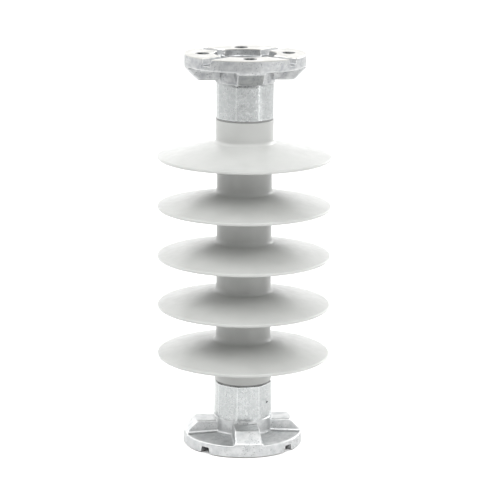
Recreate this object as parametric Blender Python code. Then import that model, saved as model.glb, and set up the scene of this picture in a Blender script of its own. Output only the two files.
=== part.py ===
# Composite station post insulator: a fibreglass rod crimped into two flanged aluminium
# fittings, with a silicone rubber housing of one sheath, five sheds and two end collars.
# Metres, +Z up. The origin is the centre of the lower mating face.

import math

import bmesh
import bpy
from mathutils import Matrix, Vector

MM = 0.001

# overall
POST_HEIGHT = 355.0 * MM
CLEARANCE = 0.3 * MM
SEGMENTS = 40
SMOOTH_ANGLE = math.radians(25.0)
CUTTER_OVERRUN = 5.0 * MM

# fibreglass rod
ROD_RADIUS = 19.0 * MM
ROD_CHAMFER = 1.0 * MM

# flange of each end fitting, measured from its own mating face
FLANGE_RADIUS = 53.6 * MM
FLANGE_THICKNESS = 10.5 * MM
FLANGE_DISH = 1.6 * MM
FLANGE_EDGE_BEVEL = 1.2 * MM
FLANGE_FOOT_BEVEL = 0.8 * MM
RECESS_RADIUS = 27.5 * MM
RECESS_DEPTH = 7.0 * MM
WEB_THICKNESS = 5.0 * MM

# bosses behind the bolt holes
BOLT_COUNT = 4
BOLT_CIRCLE_RADIUS = 38.0 * MM
BOSS_WIDTH = 22.6 * MM
BOSS_HEIGHT = 22.0 * MM
BOSS_CHAMFER_FOOT = 11.6 * MM
BOSS_CHAMFER_RUN = 10.1 * MM
BOSS_SETBACK = 0.2 * MM
BOSS_ROOT = 1.0 * MM

# blind tapped holes
HOLE_RADIUS = 5.2 * MM
HOLE_DEPTH = 17.0 * MM
HOLE_POINT = 2.6 * MM
COUNTERSINK_RADIUS = 6.3 * MM
HOLE_SEGMENTS = 16

# drain slots across the mating face, between the bosses
SLOT_DEPTH = 6.0 * MM
SLOT_FLOOR_WIDTH = 7.7 * MM
SLOT_MOUTH_WIDTH = 10.6 * MM

# crimped sleeve of each fitting
SLEEVE_WALL = 7.0 * MM
SLEEVE_ROOT_HEIGHT = 24.8 * MM
SLEEVE_FILLET = 2.0 * MM
CRIMP_STEP = 0.8 * MM
CRIMP_SQUEEZE = 0.35 * MM
CRIMP_DEPTH = 0.7 * MM
CRIMP_COUNT = 8
BOTTOM_CRIMP_TURN = math.radians(-17.0)
TOP_CRIMP_TURN = math.radians(23.0)
SLEEVE_LENGTH = 56.9 * MM
SPIGOT_WALL = 4.1 * MM
SPIGOT_LENGTH = 10.0 * MM

# seals at each end
O_RING_SECTION = 2.0 * MM
O_RING_SEGMENTS = 32
O_RING_SIDES = 8
O_RING_INSET = 5.0 * MM
BEAD_HEIGHT = 1.0 * MM
BEAD_RECESS = 0.7 * MM

# rubber housing
SHEATH_WALL = 5.35 * MM
COLLAR_RADIAL_STEP = 1.05 * MM
COLLAR_LENGTH = 16.3 * MM
COLLAR_TAPER = 0.6 * MM
SHED_COUNT = 5
SHED_RADIUS = 77.4 * MM
SHED_RIM_THICKNESS = 3.0 * MM
SHED_WIDEST_HEIGHT = 1.95 * MM
SHED_TOP_SLOPE = math.radians(13.0)
SHED_UNDER_SLOPE = math.radians(8.0)
SHED_HUB_WALL = 0.9 * MM
SHED_FILLET = 4.0 * MM
SHED_FILLET_STEPS = 3
BOTTOM_SHEATH_LENGTH = 9.1 * MM

# fits worked out from the sizes above
bore_radius = ROD_RADIUS + CLEARANCE
bore_floor = RECESS_DEPTH + WEB_THICKNESS
sleeve_radius = bore_radius + SLEEVE_WALL
crimp_ridge_radius = sleeve_radius - CRIMP_SQUEEZE
crimp_flat_radius = crimp_ridge_radius - CRIMP_DEPTH
spigot_radius = bore_radius + SPIGOT_WALL
spigot_top = SLEEVE_LENGTH + SPIGOT_LENGTH
o_ring_height = spigot_top - O_RING_INSET
o_ring_center_radius = bore_radius + O_RING_SECTION / 2
o_ring_groove_radius = o_ring_center_radius + O_RING_SECTION / 2 + CLEARANCE
o_ring_groove_half = O_RING_SECTION / 2 + CLEARANCE
bead_foot = SLEEVE_LENGTH + CLEARANCE
bead_inner_radius = spigot_radius + CLEARANCE
bead_outer_radius = crimp_flat_radius - BEAD_RECESS
sheath_radius = bore_radius + SHEATH_WALL
collar_radius = sheath_radius + COLLAR_RADIAL_STEP
collar_foot = bead_foot + BEAD_HEIGHT + CLEARANCE
collar_top = collar_foot + COLLAR_LENGTH
shed_bore_radius = sheath_radius + CLEARANCE
shed_hub_radius = shed_bore_radius + SHED_HUB_WALL


def shed_top_height(radius):
    """Height of a shed's upper cone above its lower rim edge."""
    return SHED_RIM_THICKNESS + (SHED_RADIUS - radius) * math.tan(SHED_TOP_SLOPE)


def shed_under_height(radius):
    """Height of a shed's lower cone above its lower rim edge."""
    return (SHED_RADIUS - radius) * math.tan(SHED_UNDER_SLOPE)


shed_hub_top = shed_top_height(shed_hub_radius) + SHED_FILLET
shed_hub_foot = shed_under_height(shed_hub_radius) - SHED_FILLET
top_shed_height = POST_HEIGHT - collar_top - CLEARANCE - shed_hub_top
bottom_shed_height = collar_top + CLEARANCE + BOTTOM_SHEATH_LENGTH - shed_hub_foot
shed_pitch = (top_shed_height - bottom_shed_height) / (SHED_COUNT - 1)


def clear_scene():
    """Removes whatever the scene holds."""
    for old in list(bpy.data.objects):
        bpy.data.objects.remove(old, do_unlink=True)


def material(name, color, metallic, roughness):
    """A Principled material of one colour."""
    made = bpy.data.materials.new(name)
    made.use_nodes = True
    shader = made.node_tree.nodes["Principled BSDF"]
    shader.inputs["Base Color"].default_value = (*color, 1.0)
    shader.inputs["Metallic"].default_value = metallic
    shader.inputs["Roughness"].default_value = roughness
    return made


def smooth_mesh(name, bm, surface=None):
    """Turns a bmesh into a mesh with smooth round sides."""
    mesh = bpy.data.meshes.new(name)
    bm.to_mesh(mesh)
    bm.free()
    mesh.shade_smooth()
    mesh.set_sharp_from_angle(angle=SMOOTH_ANGLE)
    if surface:
        mesh.materials.append(surface)
    return mesh


def add_object(name, bm, surface=None, parent=None):
    """Adds a bmesh to the scene as a named object."""
    made = bpy.data.objects.new(name, smooth_mesh(name, bm, surface))
    bpy.context.scene.collection.objects.link(made)
    made.parent = parent
    return made


def turned(outline, segments=SEGMENTS, closed=True):
    """Spins (radius, height) points about Z. An open outline starts and ends on the axis."""
    bm = bmesh.new()
    points = [bm.verts.new((radius, 0.0, height)) for radius, height in outline]
    edges = [bm.edges.new(pair) for pair in zip(points, points[1:])]
    if closed:
        edges.append(bm.edges.new((points[-1], points[0])))
    bmesh.ops.spin(
        bm,
        geom=points + edges,
        cent=(0.0, 0.0, 0.0),
        axis=(0.0, 0.0, 1.0),
        angle=math.tau,
        steps=segments,
        use_merge=True,
    )
    bmesh.ops.remove_doubles(bm, verts=bm.verts, dist=0.001 * MM)
    bmesh.ops.recalc_face_normals(bm, faces=bm.faces)
    return bm


def curve_points(start, corner, end, steps):
    """Points along a smooth bend that is tangent to both legs of a corner."""
    points = []
    for step in range(steps + 1):
        t = step / steps
        here = start * (1 - t) ** 2 + corner * 2 * t * (1 - t) + end * t ** 2
        points.append((here.x, here.y))
    return points


def cut_or_join(target, tool, operation):
    """Applies a Boolean with a tool object that the build leaves out."""
    tool.hide_render = True
    tool.display_type = "WIRE"
    tool.parent = target.parent
    boolean = target.modifiers.new(tool.name, "BOOLEAN")
    boolean.operation = operation
    boolean.solver = "EXACT"
    boolean.object = tool


def around_axis(bm, count, first_angle=0.0):
    """Copies a bmesh's one body round Z, count times in all."""
    body = bm.verts[:] + bm.edges[:] + bm.faces[:]
    for index in range(1, count):
        copy = bmesh.ops.duplicate(bm, geom=body)["geom"]
        corners = [item for item in copy if isinstance(item, bmesh.types.BMVert)]
        turn = Matrix.Rotation(math.tau * index / count, 3, "Z")
        bmesh.ops.rotate(bm, verts=corners, cent=(0.0, 0.0, 0.0), matrix=turn)
    turn = Matrix.Rotation(first_angle, 3, "Z")
    bmesh.ops.rotate(bm, verts=bm.verts, cent=(0.0, 0.0, 0.0), matrix=turn)


def prism_along_x(section, start, length):
    """Extrudes a closed (y, z) section along X."""
    bm = bmesh.new()
    points = [bm.verts.new((start, y, z)) for y, z in section]
    face = bm.faces.new(points)
    grown = bmesh.ops.extrude_face_region(bm, geom=[face])["geom"]
    moved = [item for item in grown if isinstance(item, bmesh.types.BMVert)]
    bmesh.ops.translate(bm, verts=moved, vec=(length, 0.0, 0.0))
    bmesh.ops.recalc_face_normals(bm, faces=bm.faces)
    return bm


def crimp(bm, turn):
    """Squeezes the sleeve between the dies, which leaves one ridge at each die gap."""
    sector = math.tau / CRIMP_COUNT
    for corner in bm.verts:
        radius = math.hypot(corner.co.x, corner.co.y)
        if corner.co.z < SLEEVE_ROOT_HEIGHT + CRIMP_STEP / 2 or radius < spigot_radius + CLEARANCE:
            continue
        angle = math.atan2(corner.co.x, -corner.co.y) - turn
        from_ridge = (angle + sector / 2) % sector - sector / 2
        share = 1 - abs(from_ridge) / (sector / 2)
        wanted = crimp_flat_radius + CRIMP_DEPTH * share ** 2
        corner.co.x *= wanted / radius
        corner.co.y *= wanted / radius


def fitting_outline():
    """Half section of a fitting, from the recess floor round the rim to the bore's floor."""
    inside = bore_radius
    groove_foot = o_ring_height - o_ring_groove_half
    groove_top = o_ring_height + o_ring_groove_half
    plate_at_sleeve = FLANGE_THICKNESS + FLANGE_DISH
    return [
        (0.0, RECESS_DEPTH),
        (RECESS_RADIUS, RECESS_DEPTH),
        (RECESS_RADIUS, 0.0),
        (FLANGE_RADIUS - FLANGE_FOOT_BEVEL, 0.0),
        (FLANGE_RADIUS, FLANGE_FOOT_BEVEL),
        (FLANGE_RADIUS, FLANGE_THICKNESS - FLANGE_EDGE_BEVEL),
        (FLANGE_RADIUS - FLANGE_EDGE_BEVEL, FLANGE_THICKNESS),
        (sleeve_radius + SLEEVE_FILLET, plate_at_sleeve),
        (sleeve_radius, plate_at_sleeve + SLEEVE_FILLET),
        (sleeve_radius, SLEEVE_ROOT_HEIGHT),
        (crimp_ridge_radius, SLEEVE_ROOT_HEIGHT + CRIMP_STEP),
        (crimp_ridge_radius, SLEEVE_LENGTH),
        (spigot_radius, SLEEVE_LENGTH),
        (spigot_radius, spigot_top),
        (inside, spigot_top),
        (inside, groove_top),
        (o_ring_groove_radius, groove_top),
        (o_ring_groove_radius, groove_foot),
        (inside, groove_foot),
        (inside, bore_floor),
        (0.0, bore_floor),
    ]


def bosses():
    """Four blocks over the bolt holes, chamfered down to the rim."""
    inner_end = bore_radius + SLEEVE_WALL / 2
    half_width = BOSS_WIDTH / 2
    low = RECESS_DEPTH + BOSS_ROOT
    bm = prism_along_x(
        [(-half_width, low), (half_width, low), (half_width, BOSS_HEIGHT), (-half_width, BOSS_HEIGHT)],
        inner_end,
        FLANGE_RADIUS - inner_end,
    )
    around_axis(bm, BOLT_COUNT)
    return bm


def boss_trim():
    """Cone and rim wall that the bosses' outer ends are cut back to."""
    past = FLANGE_RADIUS + CUTTER_OVERRUN
    above = BOSS_HEIGHT + CUTTER_OVERRUN
    end = FLANGE_RADIUS - BOSS_SETBACK
    return turned(
        [
            (end, -CUTTER_OVERRUN),
            (end, BOSS_CHAMFER_FOOT),
            (end - BOSS_CHAMFER_RUN, BOSS_HEIGHT),
            (end - BOSS_CHAMFER_RUN, above),
            (past, above),
            (past, -CUTTER_OVERRUN),
        ]
    )


def bolt_holes():
    """Four blind tapped holes with countersunk mouths and a drill point."""
    sink = COUNTERSINK_RADIUS - HOLE_RADIUS
    bm = turned(
        [
            (0.0, -sink),
            (COUNTERSINK_RADIUS + sink, -sink),
            (HOLE_RADIUS, sink),
            (HOLE_RADIUS, HOLE_DEPTH),
            (0.0, HOLE_DEPTH + HOLE_POINT),
        ],
        HOLE_SEGMENTS,
        closed=False,
    )
    bmesh.ops.translate(bm, verts=bm.verts, vec=(BOLT_CIRCLE_RADIUS, 0.0, 0.0))
    around_axis(bm, BOLT_COUNT)
    return bm


def drain_slots():
    """Four slots from the recess out through the rim, wider at the mouth."""
    flare = (SLOT_MOUTH_WIDTH - SLOT_FLOOR_WIDTH) / 2
    floor = SLOT_FLOOR_WIDTH / 2
    mouth = floor + 2 * flare
    start = RECESS_RADIUS - CUTTER_OVERRUN
    bm = prism_along_x(
        [(-mouth, -SLOT_DEPTH), (mouth, -SLOT_DEPTH), (floor, SLOT_DEPTH), (-floor, SLOT_DEPTH)],
        start,
        FLANGE_RADIUS + CUTTER_OVERRUN - start,
    )
    around_axis(bm, BOLT_COUNT, math.pi / BOLT_COUNT)
    return bm


def end_fitting(name, crimp_turn, surface, parent):
    """A cast fitting: flange, bosses, tapped holes, drain slots and crimped sleeve."""
    bm = turned(fitting_outline(), closed=False)
    crimp(bm, crimp_turn)
    fitting = add_object(name, bm, surface, parent)
    boss_tool = add_object(name + "_boss_tool", bosses(), None, parent)
    trim_tool = add_object(name + "_trim_tool", boss_trim(), None, parent)
    hole_tool = add_object(name + "_hole_tool", bolt_holes(), None, parent)
    slot_tool = add_object(name + "_slot_tool", drain_slots(), None, parent)
    cut_or_join(boss_tool, trim_tool, "DIFFERENCE")
    cut_or_join(fitting, boss_tool, "UNION")
    cut_or_join(fitting, hole_tool, "DIFFERENCE")
    cut_or_join(fitting, slot_tool, "DIFFERENCE")
    return fitting


def core_rod(surface):
    """The fibreglass rod, from one blind bore's floor to the other's."""
    foot = bore_floor + CLEARANCE
    top = POST_HEIGHT - foot
    bm = turned(
        [
            (0.0, foot),
            (ROD_RADIUS - ROD_CHAMFER, foot),
            (ROD_RADIUS, foot + ROD_CHAMFER),
            (ROD_RADIUS, top - ROD_CHAMFER),
            (ROD_RADIUS - ROD_CHAMFER, top),
            (0.0, top),
        ],
        closed=False,
    )
    return add_object("core_rod", bm, surface)


def housing_sheath(surface):
    """The rubber tube on the rod between the two end collars."""
    foot = collar_top + CLEARANCE
    top = POST_HEIGHT - foot
    bm = turned([(sheath_radius, top), (sheath_radius, foot), (bore_radius, foot), (bore_radius, top)])
    return add_object("housing_sheath", bm, surface)


def shed_outline():
    """Half section of a shed, its lower rim edge at height zero."""
    top_run = Vector((math.cos(SHED_TOP_SLOPE), -math.sin(SHED_TOP_SLOPE))) * SHED_FILLET
    under_run = Vector((math.cos(SHED_UNDER_SLOPE), -math.sin(SHED_UNDER_SLOPE))) * SHED_FILLET
    top_corner = Vector((shed_hub_radius, shed_top_height(shed_hub_radius)))
    under_corner = Vector((shed_hub_radius, shed_under_height(shed_hub_radius)))
    rise = Vector((0.0, SHED_FILLET))
    half_rim = SHED_RIM_THICKNESS / 2
    top_fillet = curve_points(top_corner + rise, top_corner, top_corner + top_run, SHED_FILLET_STEPS)
    rim = [
        (SHED_RADIUS - half_rim, shed_top_height(SHED_RADIUS - half_rim)),
        (SHED_RADIUS, SHED_WIDEST_HEIGHT),
        (SHED_RADIUS - half_rim / 2, 0.0),
    ]
    drop = under_corner - rise
    under_fillet = curve_points(under_corner + under_run, under_corner, drop, SHED_FILLET_STEPS)
    bore = [(shed_bore_radius, shed_hub_foot), (shed_bore_radius, shed_hub_top)]
    return top_fillet + rim + under_fillet + bore


def sheds(surface):
    """Equal sheds, numbered from the top, evenly spaced along the sheath."""
    mesh = smooth_mesh("shed", turned(shed_outline()), surface)
    for index in range(SHED_COUNT):
        shed = bpy.data.objects.new(f"shed_{index + 1}", mesh)
        shed.location = (0.0, 0.0, top_shed_height - index * shed_pitch)
        bpy.context.scene.collection.objects.link(shed)


def end_collar(name, surface, parent):
    """Thick end of the housing, moulded over the fitting's spigot and on to the rod."""
    over_spigot = spigot_radius + CLEARANCE
    spigot_clear = spigot_top + CLEARANCE
    bm = turned(
        [
            (collar_radius, collar_foot),
            (over_spigot, collar_foot),
            (over_spigot, spigot_clear),
            (bore_radius, spigot_clear),
            (bore_radius, collar_top),
            (sheath_radius, collar_top),
            (collar_radius, collar_top - COLLAR_TAPER),
        ]
    )
    return add_object(name, bm, surface, parent)


def sealant_bead(name, surface, parent):
    """Bead of sealant in the groove between the sleeve's mouth and the collar."""
    top = bead_foot + BEAD_HEIGHT
    bm = turned(
        [
            (bead_outer_radius, bead_foot),
            (bead_outer_radius, top),
            (bead_inner_radius, top),
            (bead_inner_radius, bead_foot),
        ]
    )
    return add_object(name, bm, surface, parent)


def o_ring(name, surface, parent):
    """Ring seal in the groove inside the spigot, round the rod."""
    radius = O_RING_SECTION / 2
    outline = []
    for side in range(O_RING_SIDES):
        angle = math.tau * side / O_RING_SIDES
        outline.append(
            (o_ring_center_radius + radius * math.cos(angle), o_ring_height + radius * math.sin(angle))
        )
    return add_object(name, turned(outline, O_RING_SEGMENTS), surface, parent)


def end_frame(name, height, turned_over):
    """Empty on a mating face that carries one end's pieces."""
    frame = bpy.data.objects.new(name, None)
    frame.location = (0.0, 0.0, height)
    if turned_over:
        frame.rotation_euler = (math.pi, 0.0, 0.0)
    bpy.context.scene.collection.objects.link(frame)
    return frame


def main():
    clear_scene()
    aluminium = material("cast_aluminium", (0.62, 0.63, 0.64), 1.0, 0.42)
    rubber = material("silicone_rubber", (0.60, 0.61, 0.59), 0.0, 0.55)
    fibreglass = material("fibreglass_rod", (0.55, 0.52, 0.36), 0.0, 0.35)
    sealant = material("sealant", (0.16, 0.16, 0.16), 0.0, 0.6)
    nitrile = material("o_ring_rubber", (0.03, 0.03, 0.03), 0.0, 0.5)
    ends = {
        "bottom": (end_frame("bottom_end", 0.0, False), BOTTOM_CRIMP_TURN),
        "top": (end_frame("top_end", POST_HEIGHT, True), TOP_CRIMP_TURN),
    }
    for end, (frame, crimp_turn) in ends.items():
        end_fitting(end + "_end_fitting", crimp_turn, aluminium, frame)
        end_collar(end + "_end_collar", rubber, frame)
        sealant_bead(end + "_sealant_bead", sealant, frame)
        o_ring(end + "_o_ring", nitrile, frame)
    core_rod(fibreglass)
    housing_sheath(rubber)
    sheds(rubber)
    bpy.context.view_layer.update()


main()
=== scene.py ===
import math

import bmesh
import bpy
from mathutils import Matrix, Vector, noise


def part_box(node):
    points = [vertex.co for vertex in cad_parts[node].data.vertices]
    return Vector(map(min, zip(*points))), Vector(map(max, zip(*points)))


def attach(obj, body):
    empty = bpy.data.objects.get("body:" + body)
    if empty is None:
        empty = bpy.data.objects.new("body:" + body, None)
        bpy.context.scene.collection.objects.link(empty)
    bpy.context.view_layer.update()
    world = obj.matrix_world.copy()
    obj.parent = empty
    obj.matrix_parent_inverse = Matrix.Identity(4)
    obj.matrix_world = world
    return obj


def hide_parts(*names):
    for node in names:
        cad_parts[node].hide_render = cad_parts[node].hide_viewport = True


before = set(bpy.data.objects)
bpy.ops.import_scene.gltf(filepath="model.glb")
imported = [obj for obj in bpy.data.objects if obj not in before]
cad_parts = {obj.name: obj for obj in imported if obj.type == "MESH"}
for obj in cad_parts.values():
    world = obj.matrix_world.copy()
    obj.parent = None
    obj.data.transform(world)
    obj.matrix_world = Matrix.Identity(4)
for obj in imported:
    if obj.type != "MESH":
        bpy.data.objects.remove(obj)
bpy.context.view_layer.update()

mm = 0.001
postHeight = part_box("top_end_fitting")[1].z
print("frame loaded, post height", round(postHeight / mm, 1), "mm")


def roundCorner(before, corner, after, radius, steps=6):
    # the arc that replaces one corner of an outline, tangent to both legs
    legIn = (before - corner).normalized()
    legOut = (after - corner).normalized()
    half = legIn.angle(legOut) / 2
    reach = radius / math.tan(half)
    center = corner + (legIn + legOut).normalized() * radius / math.sin(half)
    start = corner + legIn * reach - center
    end = corner + legOut * reach - center
    sweep = start.angle_signed(end)
    return [center + Matrix.Rotation(-sweep * step / steps, 2) @ start for step in range(steps + 1)]


def outlinePoints(corners, closed):
    # corners are (radius, height) or (radius, height, rounding), all in mm
    flat = [Vector(corner[:2]) for corner in corners]
    points = []
    for index, corner in enumerate(corners):
        atEnd = index in (0, len(corners) - 1)
        if len(corner) == 2 or (atEnd and not closed):
            points.append(flat[index])
        else:
            after = flat[(index + 1) % len(flat)]
            points += roundCorner(flat[index - 1], flat[index], after, corner[2])
    return points


def spinOutline(corners, steps, closed=True):
    # turns an outline about Z, as on a lathe
    bm = bmesh.new()
    verts = [bm.verts.new((point.x * mm, 0, point.y * mm)) for point in outlinePoints(corners, closed)]
    edges = [bm.edges.new(pair) for pair in zip(verts, verts[1:])]
    if closed:
        edges.append(bm.edges.new((verts[-1], verts[0])))
    bmesh.ops.spin(bm, geom=verts + edges, cent=(0, 0, 0), axis=(0, 0, 1), angle=math.tau,
                   steps=steps, use_merge=True)
    bmesh.ops.remove_doubles(bm, verts=bm.verts, dist=0.001 * mm)
    bmesh.ops.recalc_face_normals(bm, faces=bm.faces)
    return bm


def makeObject(name, bm, materials=(), sharpAngle=35):
    mesh = bpy.data.meshes.new(name)
    bm.to_mesh(mesh)
    bm.free()
    mesh.shade_smooth()
    mesh.set_sharp_from_angle(angle=math.radians(sharpAngle))
    made = bpy.data.objects.new(name, mesh)
    bpy.context.scene.collection.objects.link(made)
    for material in materials:
        mesh.materials.append(material)
    return made


def placeAtTop(bm):
    # turns an end's piece over and lifts it to the upper mating face
    bmesh.ops.rotate(bm, verts=bm.verts, cent=(0, 0, 0), matrix=Matrix.Rotation(math.pi, 3, "X"))
    bmesh.ops.translate(bm, verts=bm.verts, vec=(0, 0, postHeight))


def addPiece(name, bm, materials, node=None, atTop=False, sharpAngle=35):
    # a finished piece: its place, its body, its finish and the CAD node that it stands for
    if atTop:
        placeAtTop(bm)
    piece = makeObject(name, bm, materials, sharpAngle)
    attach(piece, "root")
    if node:
        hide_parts(node)


def toLinear(hexText):
    channels = [int(hexText[place:place + 2], 16) / 255 for place in (1, 3, 5)]
    return (*[c / 12.92 if c <= 0.04045 else ((c + 0.055) / 1.055) ** 2.4 for c in channels], 1)


def addNode(tree, kind, values, output=0):
    # kind is a node's type, or a node that is there already; a value is another node's output to link,
    # a setting of the node, or an input's constant, where a text is a hex colour
    node = tree.nodes.new(kind) if isinstance(kind, str) else kind
    for name, value in values.items():
        if isinstance(value, bpy.types.NodeSocket):
            tree.links.new(value, node.inputs[name])
        elif isinstance(name, str) and hasattr(node, name):
            setattr(node, name, value)
        else:
            node.inputs[name].default_value = toLinear(value) if isinstance(value, str) else value
    return node.outputs[output]


def layTints(tree, color, layers):
    # each tint shows by least to most of itself as its pattern goes from low to high
    for tint, pattern, low, high, least, most in layers:
        share = addNode(tree, "ShaderNodeMapRange", {"Value": pattern, "From Min": low, "From Max": high,
                                                     "To Min": least, "To Max": most})
        color = addNode(tree, "ShaderNodeMix", {"data_type": "RGBA", 0: share, 6: color, 7: tint}, 2)
    return color


def newMaterial(name):
    material = bpy.data.materials.new(name)
    material.use_nodes = True
    tree = material.node_tree
    place = addNode(tree, "ShaderNodeTexCoord", {}, "Object")
    return material, tree, tree.nodes["Principled BSDF"], place


# cast aluminium, shot-blasted: pale and dull, coarse grain, dark pits in patches, concave corners painted darker
# as shade, edges rubbed bright and painted lighter as a highlight
castLook = {
    "metal": "#C0C1C1", "skin": "#ADAFB0", "pit": "#5E6061", "edge": "#E2E2E0",
    "smooth": 0.34, "rough": 0.48, "clean": 0.47, "pitted": 0.6, "cornerShade": 0.22, "edgeRubAndHighlight": 0.25,
    "grainSize": 1.1, "pitSize": 1.7, "mottleSize": 6.0, "patchSize": 16.0,
    "grainDepth": 0.05, "pitDepth": 0.12, "mottleDepth": 0.1,
}
# the top casting: the cast finish made darker as painted shade, with more pits and deeper grain
shadedPittedCastLook = dict(castLook, metal="#B2B3B3", skin="#96989A", clean=0.4, pitted=0.53, grainDepth=0.07)


def castAluminium(name, look):
    material, tree, shader, place = newMaterial(name)
    # a real grain is about 0.3 mm, drawn at 1.1 mm so that it shows
    grain, mottle, patch = [
        addNode(tree, "ShaderNodeTexNoise", {
            "Vector": place, "Scale": 1 / (look[size] * mm), "Detail": detail, "Roughness": 0.6})
        for size, detail in (("grainSize", 2.0), ("mottleSize", 4.0), ("patchSize", 2.0))]
    pits = addNode(tree, "ShaderNodeTexVoronoi", {"Vector": place, "Scale": 1 / (look["pitSize"] * mm),
                                                  "Randomness": 1.0})
    # pits come in patches, and so does the stronger speckle
    pitHere, pitPatch, grainHere, grainPatch, roughness = [
        addNode(tree, "ShaderNodeMapRange", {"Value": pattern, "From Min": low, "From Max": high,
                                             "To Min": start, "To Max": end})
        for pattern, low, high, start, end in (
            (pits, 0.12, 0.3, 1.0, 0.0), (patch, look["clean"], look["pitted"], 0.0, 1.0),
            (grain, 0.35, 0.65, 0.0, 1.0), (patch, 0.3, 0.7, 0.45, 1.0),
            (mottle, 0.35, 0.65, look["rough"], look["smooth"]))]
    pitted, speckle = [addNode(tree, "ShaderNodeMath", {"operation": "MULTIPLY", 0: here, 1: where})
                       for here, where in ((pitHere, pitPatch), (grainHere, grainPatch))]
    convexity = addNode(tree, "ShaderNodeAttribute", {"attribute_name": "convexity"}, "Fac")
    color = layTints(tree, look["skin"], (
        (look["metal"], mottle, 0.35, 0.6, 0.0, 1.0),
        (look["skin"], speckle, 0.1, 0.9, 0.3, 0.0),
        (look["pit"], pitted, 0.0, 1.0, 0.0, 1.0),
        # concave corners darkened with the pit colour are painted shade; convex edges lightened are rubbed wear
        # and a painted highlight
        (look["pit"], convexity, -0.15, -0.9, 0.0, look["cornerShade"]),
        (look["edge"], convexity, 0.35, 1.0, 0.0, look["edgeRubAndHighlight"])))
    outsidePits = addNode(tree, "ShaderNodeMath", {"operation": "SUBTRACT", 0: 1.0, 1: pitted})
    normal = addNode(tree, "ShaderNodeBump", {"Height": mottle, "Distance": look["mottleDepth"] * mm})
    for height, depth in ((grain, look["grainDepth"]), (outsidePits, look["pitDepth"])):
        normal = addNode(tree, "ShaderNodeBump", {"Height": height, "Distance": depth * mm, "Normal": normal})
    addNode(tree, shader, {"Base Color": color, "Roughness": roughness, "Normal": normal, "Metallic": 1.0})
    return material


# the same casting squeezed by steel dies: burnished, with fine drag lines up the sleeve and polished ridges,
# painted lighter as a highlight
pressedLook = {
    "metal": "#B0B2B2", "dull": "#9FA2A2", "pit": "#727474", "bright": "#CCCECE", "shiny": 0.24, "worn": 0.33,
    "lineSize": 1.3, "lineStretch": 0.03, "mottleSize": 3.0, "grainSize": 1.0,
    "lineDepth": 0.04, "mottleDepth": 0.008, "ridgeRubAndHighlight": 0.35,
}


def pressedAluminium():
    look = pressedLook
    material, tree, shader, place = newMaterial("pressedAluminium")
    along = addNode(tree, "ShaderNodeMapping", {"Vector": place, "Scale": (1, 1, look["lineStretch"])})
    # real drag lines are finer than can be seen, so they are drawn at 1.3 mm
    lines, mottle, grain = [
        addNode(tree, "ShaderNodeTexNoise", {
            "Vector": vector, "Scale": 1 / (look[size] * mm), "Detail": detail, "Roughness": roughness})
        for size, vector, detail, roughness in (
            ("lineSize", along, 3.0, 0.5), ("mottleSize", place, 6.0, 0.7), ("grainSize", place, 2.0, 0.5))]
    # specks of cast skin that the dies missed, more of them where the surface is mottled
    speck, speckPatch, roughness = [
        addNode(tree, "ShaderNodeMapRange", {"Value": pattern, "From Min": low, "From Max": high,
                                             "To Min": start, "To Max": end})
        for pattern, low, high, start, end in (
            (grain, 0.54, 0.68, 0.0, 1.0), (mottle, 0.5, 0.62, 0.1, 0.8),
            (mottle, 0.3, 0.65, look["worn"], look["shiny"]))]
    missed = addNode(tree, "ShaderNodeMath", {"operation": "MULTIPLY", 0: speck, 1: speckPatch})
    convexity = addNode(tree, "ShaderNodeAttribute", {"attribute_name": "convexity"}, "Fac")
    color = layTints(tree, look["dull"], (
        (look["metal"], mottle, 0.36, 0.58, 0.0, 1.0),
        (look["dull"], lines, 0.3, 0.5, 0.6, 0.0),
        (look["pit"], missed, 0.0, 1.0, 0.0, 1.0),
        # ridges lightened: die polish and a painted highlight
        (look["bright"], convexity, 0.04, 0.2, 0.0, look["ridgeRubAndHighlight"])))
    normal = addNode(tree, "ShaderNodeBump", {"Height": mottle, "Distance": look["mottleDepth"] * mm})
    normal = addNode(tree, "ShaderNodeBump", {"Height": lines, "Distance": look["lineDepth"] * mm,
                                              "Normal": normal})
    addNode(tree, shader, {"Base Color": color, "Roughness": roughness, "Normal": normal, "Metallic": 1.0})
    return material


# the mating face, faced on a lathe: clean and bright with faint rings
turnedLook = {"metal": "#A9A8A4", "ring": "#949490", "bright": 0.28, "worn": 0.42,
              "feed": 0.9, "ringDepth": 0.012, "patchSize": 9.0}


def turnedAluminium():
    look = turnedLook
    material, tree, shader, place = newMaterial("turnedAluminium")
    # a lathe's feed is about 0.3 mm, drawn at 0.9 mm so that it shows; at a scale of 1 a ring is 0.314 wide
    rings = addNode(tree, "ShaderNodeTexWave", {
        "Vector": place, "wave_type": "RINGS", "rings_direction": "Z",
        "Scale": 0.314 / (look["feed"] * mm), "Distortion": 0.4, "Detail": 1.0}, "Fac")
    patch = addNode(tree, "ShaderNodeTexNoise", {"Vector": place, "Scale": 1 / (look["patchSize"] * mm),
                                                 "Detail": 4.0})
    where, roughness = [
        addNode(tree, "ShaderNodeMapRange", {"Value": patch, "From Min": 0.3, "From Max": 0.7,
                                             "To Min": start, "To Max": end})
        for start, end in ((0.0, 1.0), (look["bright"], look["worn"]))]
    ringHere = addNode(tree, "ShaderNodeMath", {"operation": "MULTIPLY", 0: rings, 1: where})
    color = layTints(tree, look["metal"], ((look["ring"], ringHere, 0.0, 1.0, 0.0, 1.0),))
    normal = addNode(tree, "ShaderNodeBump", {"Height": rings, "Distance": look["ringDepth"] * mm})
    addNode(tree, shader, {"Base Color": color, "Roughness": roughness, "Normal": normal, "Metallic": 1.0})
    return material


# drilled and tapped holes: painted dark as shade inside the holes, with darker blotches
tappedLook = {"metal": "#6E7071", "darkBlotch": "#3C3D3E", "roughness": 0.36, "patchSize": 1.6}


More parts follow.
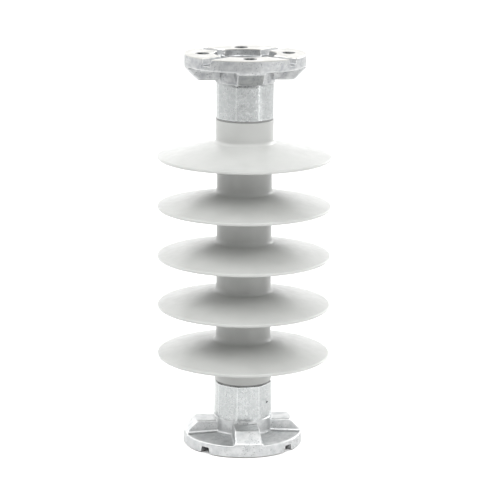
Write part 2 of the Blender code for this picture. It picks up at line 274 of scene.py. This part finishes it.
def tappedAluminium():
    look = tappedLook
    material, tree, shader, place = newMaterial("tappedAluminium")
    darkBlotch = addNode(tree, "ShaderNodeTexNoise", {"Vector": place, "Scale": 1 / (look["patchSize"] * mm),
                                               "Detail": 3.0})
    # the dark colour is painted shade in the holes
    color = layTints(tree, look["metal"], ((look["darkBlotch"], darkBlotch, 0.35, 0.6, 0.0, 1.0),))
    addNode(tree, shader, {"Base Color": color, "Roughness": look["roughness"], "Metallic": 1.0})
    return material


# injection-moulded silicone rubber, pale grey: a satin skin, slightly cloudy, faint flow marks up the post
rubberLook = {
    "pale": "#A3A4A2", "deep": "#9FA09E", "gloss": 0.29, "matt": 0.38, "ior": 1.41,
    "cloudSize": 22.0, "flowSize": 7.0, "flowStretch": 0.12, "skinSize": 0.9, "skinDepth": 0.012,
}


def siliconeRubber():
    look = rubberLook
    material, tree, shader, place = newMaterial("siliconeRubber")
    along = addNode(tree, "ShaderNodeMapping", {"Vector": place, "Scale": (1, 1, look["flowStretch"])})
    # a mould's skin is about 0.1 mm, drawn at 0.9 mm so that it shows
    cloud, flow, skin = [
        addNode(tree, "ShaderNodeTexNoise", {
            "Vector": vector, "Scale": 1 / (look[size] * mm), "Detail": detail})
        for size, vector, detail in (
            ("cloudSize", place, 3.0), ("flowSize", along, 3.0), ("skinSize", place, 2.0))]
    color = layTints(tree, look["deep"], ((look["pale"], cloud, 0.35, 0.65, 0.0, 1.0),))
    roughness = addNode(tree, "ShaderNodeMapRange", {"Value": flow, "From Min": 0.35, "From Max": 0.65,
                                                     "To Min": look["gloss"], "To Max": look["matt"]})
    normal = addNode(tree, "ShaderNodeBump", {"Height": skin, "Distance": look["skinDepth"] * mm})
    addNode(tree, shader, {"Base Color": color, "Roughness": roughness, "Normal": normal, "IOR": look["ior"]})
    return material


plainLooks = {
    # RTV silicone, smoothed by hand: dull and uneven, its mid grey partly painted shade along the seam
    "curedSealant": {"pale": "#7C7D7C", "deep": "#6E6F6E", "roughness": 0.5, "size": 1.5, "stretch": 1.0},
    # moulded O-ring: black with a faint sheen
    "nitrileRubber": {"pale": "#161616", "deep": "#0E0E0E", "roughness": 0.45, "size": 1.0, "stretch": 1.0},
    # glass strands in clear resin run the length of the rod
    "pultrudedFibreglass": {"pale": "#C3BE8E", "deep": "#A9A878", "roughness": 0.3, "size": 0.6,
                            "stretch": 0.04},
}
plainBump = {"strength": 0.4, "depth": 0.03}


def plainFinish(name):
    look = plainLooks[name]
    material, tree, shader, place = newMaterial(name)
    along = addNode(tree, "ShaderNodeMapping", {"Vector": place, "Scale": (1, 1, look["stretch"])})
    pattern = addNode(tree, "ShaderNodeTexNoise", {"Vector": along, "Scale": 1 / (look["size"] * mm),
                                                   "Detail": 3.0})
    color = layTints(tree, look["deep"], ((look["pale"], pattern, 0.0, 1.0, 0.0, 1.0),))
    normal = addNode(tree, "ShaderNodeBump", {"Height": pattern, "Strength": plainBump["strength"],
                                              "Distance": plainBump["depth"] * mm})
    addNode(tree, shader, {"Base Color": color, "Roughness": look["roughness"], "Normal": normal})
    return material


fitting = {
    "rim": 53.6, "plate": 10.5, "dish": 1.6, "edge": 1.0, "faceChamfer": 0.6,
    "recess": 27.5, "recessDepth": 7.0, "recessEdge": 0.8, "recessDraft": 0.3, "web": 5.0,
    "boltCircle": 38.0, "hole": 5.4, "sink": 6.4, "sinkDepth": 1.1, "holeDepth": 17.0, "drillPoint": 2.8,
    "bossWidth": 22.6, "bossHeight": 22.2, "bossFoot": 11.8, "bossRun": 10.1, "bossSetback": 0.1,
    "bossDraft": 0.5, "bossFillet": 2.8, "bossEdge": 0.9, "bossRoot": 1.0, "bossSkirt": 1.5, "bossStart": 3.5,
    "slotDepth": 6.0, "slotFloor": 7.7, "slotMouth": 10.6, "slotStart": 22.0, "slotEnd": 60.0,
    "sleeve": 26.3, "sleeveFillet": 2.5, "rootTop": 24.8, "mouth": 56.9, "filed": 0.3,
    "dies": 8, "step": 0.7, "ridge": 26.1, "flat": 25.2, "flareRun": 12.0,
    "bite": 0.14, "biteWidth": 1.2, "burr": 0.05, "burrWidth": 0.8,
    "spigot": 23.4, "spigotTop": 66.9, "bore": 19.3, "grooveLow": 60.6, "grooveHigh": 63.2, "groove": 21.6,
    "voxel": 0.6, "smoothing": 4, "overcut": 2.0,
    "waveSize": 7.0, "rippleSize": 2.6, "rippleShare": 0.6, "waveHeight": 0.06,
}


def bossBlocks():
    # four blocks with drafted sides and filleted feet, kept clear of the bore
    f = fitting
    half = f["bossWidth"] / 2
    foot = f["plate"] - 0.2     # the feet sink a little into the plate
    low = f["recessDepth"] + f["bossRoot"]
    skirt = half + f["bossFillet"] + f["bossSkirt"]
    start = f["bore"] + f["bossStart"]
    profile = outlinePoints([
        (-skirt, low), (-skirt, foot), (-half - f["bossDraft"], foot, f["bossFillet"]),
        (-half, f["bossHeight"], f["bossEdge"]), (half, f["bossHeight"], f["bossEdge"]),
        (half + f["bossDraft"], foot, f["bossFillet"]), (skirt, foot), (skirt, low)], closed=True)
    bm = bmesh.new()
    for quarter in range(4):
        ring = [bm.verts.new((start * mm, point.x * mm, point.y * mm)) for point in profile]
        grown = bmesh.ops.extrude_face_region(bm, geom=[bm.faces.new(ring)])["geom"]
        far = [item for item in grown if isinstance(item, bmesh.types.BMVert)]
        bmesh.ops.translate(bm, verts=far, vec=((f["rim"] - f["bossSetback"] - start) * mm, 0, 0))
        for vert in ring:
            # the plate is higher beside the sleeve, and the feet with their fillets rise with it
            if low < vert.co.z / mm - 0.5 < foot + f["bossFillet"]:
                vert.co.z += f["dish"] * mm
        bmesh.ops.rotate(bm, verts=ring + far, cent=(0, 0, 0),
                         matrix=Matrix.Rotation(quarter * math.pi / 2, 3, "Z"))
    bmesh.ops.recalc_face_normals(bm, faces=bm.faces)
    return bm


def bossCone():
    # what the bosses' outer ends are cut back to; its far sides are well clear of the casting
    f = fitting
    end = f["rim"] - f["bossSetback"]
    inner = end - f["bossRun"]
    below, above, outside = -10, 40, 80
    return spinOutline([(end, below), (end, f["bossFoot"]), (inner, f["bossHeight"]),
                        (inner, above), (outside, above), (outside, below)], steps=96)


def slotBlocks():
    # four drain slots, wider at the mouth
    f = fitting
    bm = bmesh.new()
    flare = (f["slotMouth"] - f["slotFloor"]) / 2
    for quarter in range(4):
        made = bmesh.ops.create_cube(bm, size=1.0)["verts"]
        for vert in made:
            atFloor = vert.co.z > 0
            vert.co.x = (f["slotEnd"] if vert.co.x > 0 else f["slotStart"]) * mm
            vert.co.y *= (f["slotFloor"] if atFloor else f["slotMouth"] + flare) * mm
            vert.co.z = (f["slotDepth"] if atFloor else -f["slotDepth"] / 2) * mm
        bmesh.ops.rotate(bm, verts=made, cent=(0, 0, 0),
                         matrix=Matrix.Rotation((quarter + 0.5) * math.pi / 2, 3, "Z"))
    bmesh.ops.recalc_face_normals(bm, faces=bm.faces)
    return bm


def castBlank():
    # the rough casting: flange, bosses, recess, slots and plain sleeve, with its edges softened
    f = fitting
    sleeveEnd = f["mouth"] + f["overcut"]
    blank = makeObject("castBlank", spinOutline([
        (0, f["recessDepth"]), (f["recess"], f["recessDepth"], f["recessEdge"]),
        (f["recess"] + f["recessDraft"], -f["overcut"]), (f["rim"], -f["overcut"]),
        (f["rim"], f["plate"], f["edge"]), (f["sleeve"], f["plate"] + f["dish"], f["sleeveFillet"]),
        (f["sleeve"], sleeveEnd), (0, sleeveEnd)], steps=144, closed=False))
    bosses = makeObject("bossTool", bossBlocks())
    cone = makeObject("coneTool", bossCone())
    slots = makeObject("slotTool", slotBlocks())
    for target, tool, operation in ((bosses, cone, "DIFFERENCE"), (blank, bosses, "UNION"),
                                    (blank, slots, "DIFFERENCE")):
        boolean = target.modifiers.new(tool.name, "BOOLEAN")
        boolean.object = tool
        boolean.operation = operation
        boolean.solver = "EXACT"
    remesh = blank.modifiers.new("skin", "REMESH")
    remesh.mode = "VOXEL"
    remesh.voxel_size = f["voxel"] * mm
    bpy.context.view_layer.update()
    ready = blank.evaluated_get(bpy.context.evaluated_depsgraph_get())
    mesh = bpy.data.meshes.new_from_object(ready)
    for thing in (blank, bosses, cone, slots):
        bpy.data.objects.remove(thing)
    bm = bmesh.new()
    bm.from_mesh(mesh)
    for _ in range(f["smoothing"]):
        bmesh.ops.smooth_vert(bm, verts=bm.verts, factor=0.5,
                              use_axis_x=True, use_axis_y=True, use_axis_z=True)
    print("cast blank", len(bm.verts), "points")
    return bm


def castSkin(bm, seed):
    # the slight unevenness of a cast surface
    f = fitting
    bm.normal_update()
    for vert in bm.verts:
        place = vert.co / mm
        wave = noise.noise(place / f["waveSize"] + Vector((seed, 0, 0)))
        ripple = noise.noise(place / f["rippleSize"] + Vector((0, seed, 0)))
        vert.co += vert.normal * (wave + f["rippleShare"] * ripple) * f["waveHeight"] * mm


def crimpSleeve(bm, turn, flare):
    # eight dies press the sleeve in, bite at the root and leave a ridge between each two
    f = fitting
    sector = math.tau / f["dies"]
    for vert in bm.verts:
        radius = math.hypot(vert.co.x, vert.co.y) / mm
        height = vert.co.z / mm - f["rootTop"]
        if height < -0.5 or not f["sleeve"] - 2 <= radius <= f["sleeve"] + 1:
            continue
        angle = math.atan2(vert.co.x, -vert.co.y) - math.radians(turn)
        share = 1 - abs((angle + sector / 2) % sector - sector / 2) / (sector / 2)    # 1 on a ridge
        fromRidge = (1 - share) * sector / 2 * f["flat"]
        pressed = f["flat"] + (f["ridge"] - f["flat"]) * share ** 2
        pressed += flare * math.exp(-max(height, 0) / f["flareRun"])
        pressed += f["burr"] * math.exp(-(fromRidge / f["burrWidth"]) ** 2)
        down = min(1, max(0, height / f["step"]))
        bite = f["bite"] * math.exp(-((height - f["step"]) / f["biteWidth"]) ** 2)
        vert.co.xy *= 1 - ((f["sleeve"] - pressed) * down * down * (3 - 2 * down) + bite * down) / radius


# degrees from the front, the rest in mm; the last is the radius of painted shade in the pit
punch = {"azimuth": 54, "height": 39.7, "radius": 1.3, "depth": 0.8, "shadeRadius": 1.2}


def punchMark(bm):
    # a small inspector's punch mark on the sleeve
    p = punch
    side = math.radians(p["azimuth"])
    reach = fitting["flat"] + 0.1
    center = Vector((math.sin(side) * reach, -math.cos(side) * reach, p["height"])) * mm
    near = [edge for edge in bm.edges if (edge.verts[0].co - center).length < 2.5 * p["radius"] * mm]
    bmesh.ops.subdivide_edges(bm, edges=near, cuts=2, use_grid_fill=True)
    for vert in bm.verts:
        away = (vert.co - center).length / (p["radius"] * mm)
        vert.co.xy *= 1 - p["depth"] * max(0, 1 - away ** 2) / fitting["flat"]
    return center


def cutFlat(bm, height, keepAbove):
    # machines an end flat and gives the cut's edges
    cut = bmesh.ops.bisect_plane(bm, geom=bm.verts[:] + bm.edges[:] + bm.faces[:], dist=0.01 * mm,
                                 plane_co=(0, 0, height * mm), plane_no=(0, 0, 1),
                                 clear_inner=keepAbove, clear_outer=not keepAbove)
    return [item for item in cut["geom_cut"] if isinstance(item, bmesh.types.BMEdge)]


def growRing(bm, edges, radius, height, center=Vector((0, 0))):
    # extrudes a ring of edges to a circle of its own round an upright axis
    grown = bmesh.ops.extrude_edge_only(bm, edges=edges)["geom"]
    for vert in [item for item in grown if isinstance(item, bmesh.types.BMVert)]:
        vert.co.xy = center + (vert.co.xy - center).normalized() * radius * mm
        vert.co.z = height * mm
    return [item for item in grown if isinstance(item, bmesh.types.BMEdge)]


def mouthAndBore(bm):
    # the sleeve's cut mouth, the spigot under the collar, and the bore with its O-ring groove
    f = fitting
    ring = cutFlat(bm, f["mouth"], keepAbove=False)
    for vert in {vert for edge in ring for vert in edge.verts}:
        vert.co.xy *= 1 - f["filed"] / f["flat"]     # the saw burr is filed off
    for radius, height in ((f["spigot"], f["mouth"]), (f["spigot"], f["spigotTop"]),
                           (f["bore"], f["spigotTop"]), (f["bore"], f["grooveHigh"]),
                           (f["groove"], f["grooveHigh"]), (f["groove"], f["grooveLow"]),
                           (f["bore"], f["grooveLow"]), (f["bore"], f["recessDepth"] + f["web"])):
        ring = growRing(bm, ring, radius, height)
    bmesh.ops.edgeloop_fill(bm, edges=ring)


def boltHole(bm, face, center):
    # opens a countersunk blind hole in a flat face
    f = fitting
    rim = list(face.edges)
    bmesh.ops.delete(bm, geom=[face], context="FACES_ONLY")
    made = bmesh.ops.create_circle(bm, cap_ends=False, segments=48, radius=f["sink"] * mm,
                                   matrix=Matrix.Translation(center))["verts"]
    ring = list({edge for vert in made for edge in vert.link_edges})
    bmesh.ops.triangle_fill(bm, edges=rim + ring, use_beauty=True)
    for radius, height in ((f["hole"], f["sinkDepth"]), (f["hole"], f["holeDepth"]),
                           (0.4, f["holeDepth"] + f["drillPoint"])):
        ring = growRing(bm, ring, radius, height, center.xy)
    bmesh.ops.edgeloop_fill(bm, edges=ring)


def matingFace(bm):
    # cuts the face flat with a small chamfer, and drills the four bolt holes
    f = fitting
    cutFlat(bm, f["faceChamfer"], keepAbove=True)
    edges = [edge for edge in bm.edges if edge.is_boundary]
    verts = list({vert for edge in edges for vert in edge.verts})
    bmesh.ops.remove_doubles(bm, verts=verts, dist=0.12 * mm)
    before = set(bm.faces)
    bmesh.ops.edgenet_fill(bm, edges=[edge for edge in bm.edges if edge.is_boundary])
    faces = [face for face in bm.faces if face not in before]
    bmesh.ops.inset_region(bm, faces=faces, thickness=f["faceChamfer"] * mm, use_even_offset=True,
                           use_boundary=True)
    for face in faces:
        for vert in face.verts:
            vert.co.z = 0
    for face in faces:
        middle = face.calc_center_median()
        turn = round(math.atan2(middle.y, middle.x) / (math.pi / 2)) * math.pi / 2
        boltHole(bm, face, Vector((math.cos(turn), math.sin(turn), 0)) * f["boltCircle"] * mm)


def markConvexity(bm):
    # how convex the surface is at each point, from -1 in a corner to 1 on an edge; the finishes use it for
    # painted shade in corners and painted highlights on edges and ridges
    layer = bm.verts.layers.float.new("convexity")
    bm.normal_update()
    sharp = 0.2     # the mean bend in radians that counts as an edge
    bend = {vert: sum(edge.calc_face_angle_signed(0) for edge in vert.link_edges) / len(vert.link_edges)
            for vert in bm.verts}
    for vert in bm.verts:
        around = [bend[edge.other_vert(vert)] for edge in vert.link_edges]
        vert[layer] = max(-1, min(1, (bend[vert] + sum(around) / len(around)) / 2 / sharp))


def paintFaces(bm, mark):
    # which finish each face has
    f = fitting
    pressed, turned, tapped = 1, 2, 3
    for face in bm.faces:
        middle = face.calc_center_median() / mm
        radius = math.hypot(middle.x, middle.y)
        fromHole = math.hypot(max(abs(middle.x), abs(middle.y)) - f["boltCircle"],
                              min(abs(middle.x), abs(middle.y)))
        if middle.z < f["faceChamfer"] and fromHole > f["sink"]:
            face.material_index = turned
        elif fromHole < f["sink"] + 0.1 and middle.z < f["holeDepth"] + f["drillPoint"] + 0.1:
            face.material_index = tapped
        elif middle.z > f["rootTop"] + f["step"] and radius > f["spigot"] + 0.1:
            # the punch pit gets the dark hole finish as painted shade
            inMark = mark and (middle - mark / mm).length < punch["shadeRadius"]
            face.material_index = tapped if inMark else pressed
        elif middle.z > f["recessDepth"] + 0.1 and radius < f["spigot"] + 0.1:
            face.material_index = turned


def endFitting(end, blank, turn, flare, seed, finishes):
    bm = blank.copy()
    castSkin(bm, seed)
    crimpSleeve(bm, turn, flare)
    mark = punchMark(bm) if end == "bottom" else None
    mouthAndBore(bm)
    matingFace(bm)
    bmesh.ops.recalc_face_normals(bm, faces=bm.faces)
    markConvexity(bm)
    paintFaces(bm, mark)
    print(end, "casting", len(bm.faces), "faces")
    addPiece(end + "_casting", bm, finishes, end + "_end_fitting", end == "top", 32)


# M12 coarse thread, cut into the bolt holes
thread = {"pitch": 1.75, "root": 5.5, "crest": 4.95, "start": 0.7, "turns": 9, "steps": 28}


def boltThreads(end, finish):
    # one coiled ridge in each hole; a tooth is (distance from the hole's axis, share of a pitch up)
    t = thread
    tooth = ((t["root"], 0.06), (t["crest"], 0.44), (t["crest"], 0.56), (t["root"], 0.94))
    bm = bmesh.new()
    for quarter in range(4):
        spot = Matrix.Rotation(quarter * math.pi / 2, 3, "Z") @ Vector((fitting["boltCircle"] * mm, 0, 0))
        verts = [bm.verts.new(spot + Vector((away * mm, 0, (t["start"] + up * t["pitch"]) * mm)))
                 for away, up in tooth]
        bmesh.ops.spin(bm, geom=[bm.faces.new(verts)], cent=spot, axis=(0, 0, 1),
                       angle=math.tau * t["turns"], steps=t["turns"] * t["steps"],
                       dvec=(0, 0, t["pitch"] * mm / t["steps"]), use_duplicate=False)
    bmesh.ops.recalc_face_normals(bm, faces=bm.faces)
    addPiece(end + "_bolt_threads", bm, [finish], atTop=end == "top")


pressed = pressedAluminium()
turned = turnedAluminium()
tapped = tappedAluminium()
cast = castAluminium("castAluminium", castLook)
# a darker copy of the cast finish for the top casting: painted shade
shadedPittedCast = castAluminium("shadedPittedCastAluminium", shadedPittedCastLook)
blank = castBlank()
endFitting("bottom", blank, turn=-17, flare=0.5, seed=3.1, finishes=[cast, pressed, turned, tapped])
endFitting("top", blank, turn=23, flare=0.15, seed=8.7, finishes=[shadedPittedCast, pressed, turned, tapped])
blank.free()
for end in ("bottom", "top"):
    boltThreads(end, tapped)
print("fittings done")


shed = {"radius": 77.4, "rim": 3.0, "topSlope": 13.0, "underSlope": 8.0,
        "hub": 24.75, "hubBesideCollar": 25.6, "inside": 24.4, "hubTop": 18.9, "hubSkirt": 6.2,
        "topFillet": 4.2, "underFillet": 5.0, "rimRound": 1.25, "steps": 256}


def shedPiece(name, rubber):
    s = shed
    neck = s["hubBesideCollar"] if name == "shed_1" else s["hub"]
    top = s["rim"] + (s["radius"] - neck) * math.tan(math.radians(s["topSlope"]))
    under = (s["radius"] - s["hub"]) * math.tan(math.radians(s["underSlope"]))
    bm = spinOutline([
        (s["inside"], s["hubTop"]), (neck, s["hubTop"]), (neck, top, s["topFillet"]),
        (s["radius"], s["rim"], s["rimRound"]), (s["radius"], 0, s["rimRound"]),
        (s["hub"], under, s["underFillet"]), (s["hub"], under - s["hubSkirt"]),
        (s["inside"], under - s["hubSkirt"])], s["steps"])
    bmesh.ops.translate(bm, verts=bm.verts, vec=(0, 0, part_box(name)[0].z))
    addPiece(name + "_rubber", bm, [rubber], name, sharpAngle=60)


def sheathPiece(rubber):
    low, high = [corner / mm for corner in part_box("housing_sheath")]
    bore = fitting["bore"]
    bm = spinOutline([(high.x, high.z), (high.x, low.z), (bore, low.z), (bore, high.z)], steps=192)
    addPiece("sheath_tube", bm, [rubber], "housing_sheath")


collar = {"foot": 58.5, "top": 75.05, "radius": 25.7, "end": 25.6, "lip": 0.5, "overSpigot": 23.7,
          "spigotClear": 67.2, "steps": 192}


def collarPiece(end, rubber):
    # the thick end of the housing, over the spigot and on to the rod
    c = collar
    bore = fitting["bore"]
    bm = spinOutline([
        (c["radius"], c["foot"], c["lip"]), (c["overSpigot"], c["foot"]), (c["overSpigot"], c["spigotClear"]),
        (bore, c["spigotClear"]), (bore, c["top"]), (c["end"], c["top"])], c["steps"])
    addPiece(end + "_end_collar_rubber", bm, [rubber], end + "_end_collar", end == "top")


bead = {"inner": 23.7, "outer": {"bottom": 25.05, "top": 25.55}, "foot": 57.0, "top": 58.4, "round": 0.3,
        "steps": 160}


def sealantBead(end, sealant):
    # squeezed out between the sleeve's mouth and the collar
    b = bead
    outer = b["outer"][end]
    bm = spinOutline([(outer, b["foot"], b["round"]), (outer, b["top"], b["round"]),
                      (b["inner"], b["top"]), (b["inner"], b["foot"])], b["steps"])
    addPiece(end + "_sealant_bead_seal", bm, [sealant], end + "_sealant_bead", end == "top")


oRing = {"center": 20.3, "height": 61.9, "section": 2.0, "steps": 160}


def oRingSeal(end, nitrile):
    half = oRing["section"] / 2
    rounding = half * 0.999     # four arcs that all but meet
    corners = [(oRing["center"] + side * half, oRing["height"] + up * half, rounding)
               for side, up in ((1, -1), (1, 1), (-1, 1), (-1, -1))]
    bm = spinOutline(corners, oRing["steps"])
    addPiece(end + "_o_ring_seal", bm, [nitrile], end + "_o_ring", end == "top")


rubber = siliconeRubber()
sealant = plainFinish("curedSealant")
nitrile = plainFinish("nitrileRubber")
for index in range(1, 6):
    shedPiece(f"shed_{index}", rubber)
sheathPiece(rubber)
for end in ("bottom", "top"):
    collarPiece(end, rubber)
    sealantBead(end, sealant)
    oRingSeal(end, nitrile)
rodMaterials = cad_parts["core_rod"].data.materials
rodMaterials.clear()
rodMaterials.append(plainFinish("pultrudedFibreglass"))
print("housing done")


stage = {"radius": 6.0, "drop": 0.5, "color": "#F4F4F4", "roughness": 0.9}


def paleFloor():
    bm = bmesh.new()
    bmesh.ops.create_circle(bm, cap_ends=True, segments=96, radius=stage["radius"])
    material = bpy.data.materials.new("paleFloor")
    material.use_nodes = True
    tree = material.node_tree
    addNode(tree, tree.nodes["Principled BSDF"], {"Base Color": stage["color"], "Roughness": stage["roughness"]})
    floor = makeObject("floor", bm, [material])
    floor.location.z = -stage["drop"] * mm     # just below the mating face


# soft boxes: degrees from the front and above the bench, distance, width and height in metres, watts
softBoxes = {
    "rightKey": dict(azimuth=30, elevation=35, distance=1.8, width=0.6, height=0.6, power=10.3),
    "leftFront": dict(azimuth=-30, elevation=35, distance=1.8, width=0.6, height=0.6, power=3.3),
    "leftKey": dict(azimuth=-60, elevation=50, distance=1.6, width=0.8, height=0.6, power=3.6),
    "leftSide": dict(azimuth=-100, elevation=45, distance=1.8, width=0.8, height=0.8, power=11.0),
    "rightSide": dict(azimuth=100, elevation=45, distance=1.8, width=0.8, height=0.8, power=4.3),
    "rightBack": dict(azimuth=130, elevation=25, distance=1.8, width=0.8, height=0.8, power=12.5),
    "leftBack": dict(azimuth=-130, elevation=25, distance=1.8, width=0.8, height=0.8, power=3.2),
    "rear": dict(azimuth=180, elevation=35, distance=1.8, width=1.2, height=0.6, power=2.2),
    "rightStrip": dict(azimuth=66, elevation=4, distance=1.5, width=0.25, height=0.5, power=1.2),
    "frontStrip": dict(azimuth=35, elevation=4, distance=1.5, width=0.25, height=0.5, power=1.0),
}
# a big lamp over the floor behind the post
floorLamp = {"width": 3.0, "depth": 3.5, "power": 7.0, "place": (0, 2.3, 1.6)}
# the white tent round the bench: how bright it is low behind, high in front, and everywhere else
tent = {"backdrop": 2.05, "canopy": 2.65, "rest": 0.05}


def addLamp(name, width, height, power):
    light = bpy.data.lights.new(name, "AREA")
    light.shape = "RECTANGLE"
    light.size = width
    light.size_y = height
    light.energy = power
    lamp = bpy.data.objects.new(name, light)
    lamp.visible_camera = False
    bpy.context.scene.collection.objects.link(lamp)
    return lamp


def softBox(name, azimuth, elevation, distance, width, height, power):
    # a lamp aimed at the middle of the post
    lamp = addLamp(name, width, height, power)
    side = math.radians(azimuth)
    up = math.radians(elevation)
    away = Vector((math.sin(side) * math.cos(up), -math.cos(side) * math.cos(up), math.sin(up))) * distance
    lamp.location = Vector((0, 0, postHeight / 2)) + away
    lamp.rotation_euler = (-away).to_track_quat("-Z", "Y").to_euler()


def studioTent():
    room = bpy.data.worlds.new("studioTent")
    bpy.context.scene.world = room
    room.use_nodes = True
    tree = room.node_tree
    toward = addNode(tree, "ShaderNodeTexCoord", {}, "Generated")
    axes = addNode(tree, "ShaderNodeSeparateXYZ", {"Vector": toward}).node.outputs
    rear, high = [
        addNode(tree, "ShaderNodeMapRange", {"interpolation_type": "SMOOTHSTEP", "Value": axes[axis],
                                             "From Min": start, "From Max": end})
        for axis, start, end in (("Y", -0.6, 0.4), ("Z", 0.2, 0.75))]
    backdrop, canopy, rest = [(level, level, level, 1) for level in tent.values()]
    below = addNode(tree, "ShaderNodeMix", {"data_type": "RGBA", 0: rear, 6: rest, 7: backdrop}, 2)
    above = addNode(tree, "ShaderNodeMix", {"data_type": "RGBA", 0: rear, 6: canopy, 7: rest}, 2)
    light = addNode(tree, "ShaderNodeMix", {"data_type": "RGBA", 0: high, 6: below, 7: above}, 2)
    # a camera that looks past the floor sees plain white cloth
    seen = addNode(tree, "ShaderNodeLightPath", {}, "Is Camera Ray")
    color = addNode(tree, "ShaderNodeMix", {"data_type": "RGBA", 0: seen, 6: light, 7: "#FFFFFF"}, 2)
    addNode(tree, tree.nodes["Background"], {"Color": color})


# camera: degrees and metres, the lens for a 36 mm sensor
shot = {"azimuth": -6.06, "distance": 1.8819, "height": 0.6149,
        "pitch": 13.08, "pan": -0.168, "roll": 0.48, "lens": 155.3}


def aimCamera():
    camera = bpy.data.objects.new("camera", bpy.data.cameras.new("camera"))
    bpy.context.scene.collection.objects.link(camera)
    camera.data.lens = shot["lens"]
    camera.data.sensor_width = 36
    side = math.radians(shot["azimuth"])
    camera.location = (shot["distance"] * math.sin(side), -shot["distance"] * math.cos(side), shot["height"])
    turn = (Matrix.Rotation(side + math.radians(shot["pan"]), 4, "Z")
            @ Matrix.Rotation(math.radians(90 - shot["pitch"]), 4, "X")
            @ Matrix.Rotation(math.radians(shot["roll"]), 4, "Z"))
    camera.rotation_euler = turn.to_euler()
    bpy.context.scene.camera = camera


paleFloor()
for name, settings in softBoxes.items():
    softBox(name, **settings)
behind = addLamp("floorLamp", floorLamp["width"], floorLamp["depth"], floorLamp["power"])
behind.location = floorLamp["place"]
studioTent()
bpy.context.scene.view_settings.view_transform = "Standard"
aimCamera()
print("stage done")
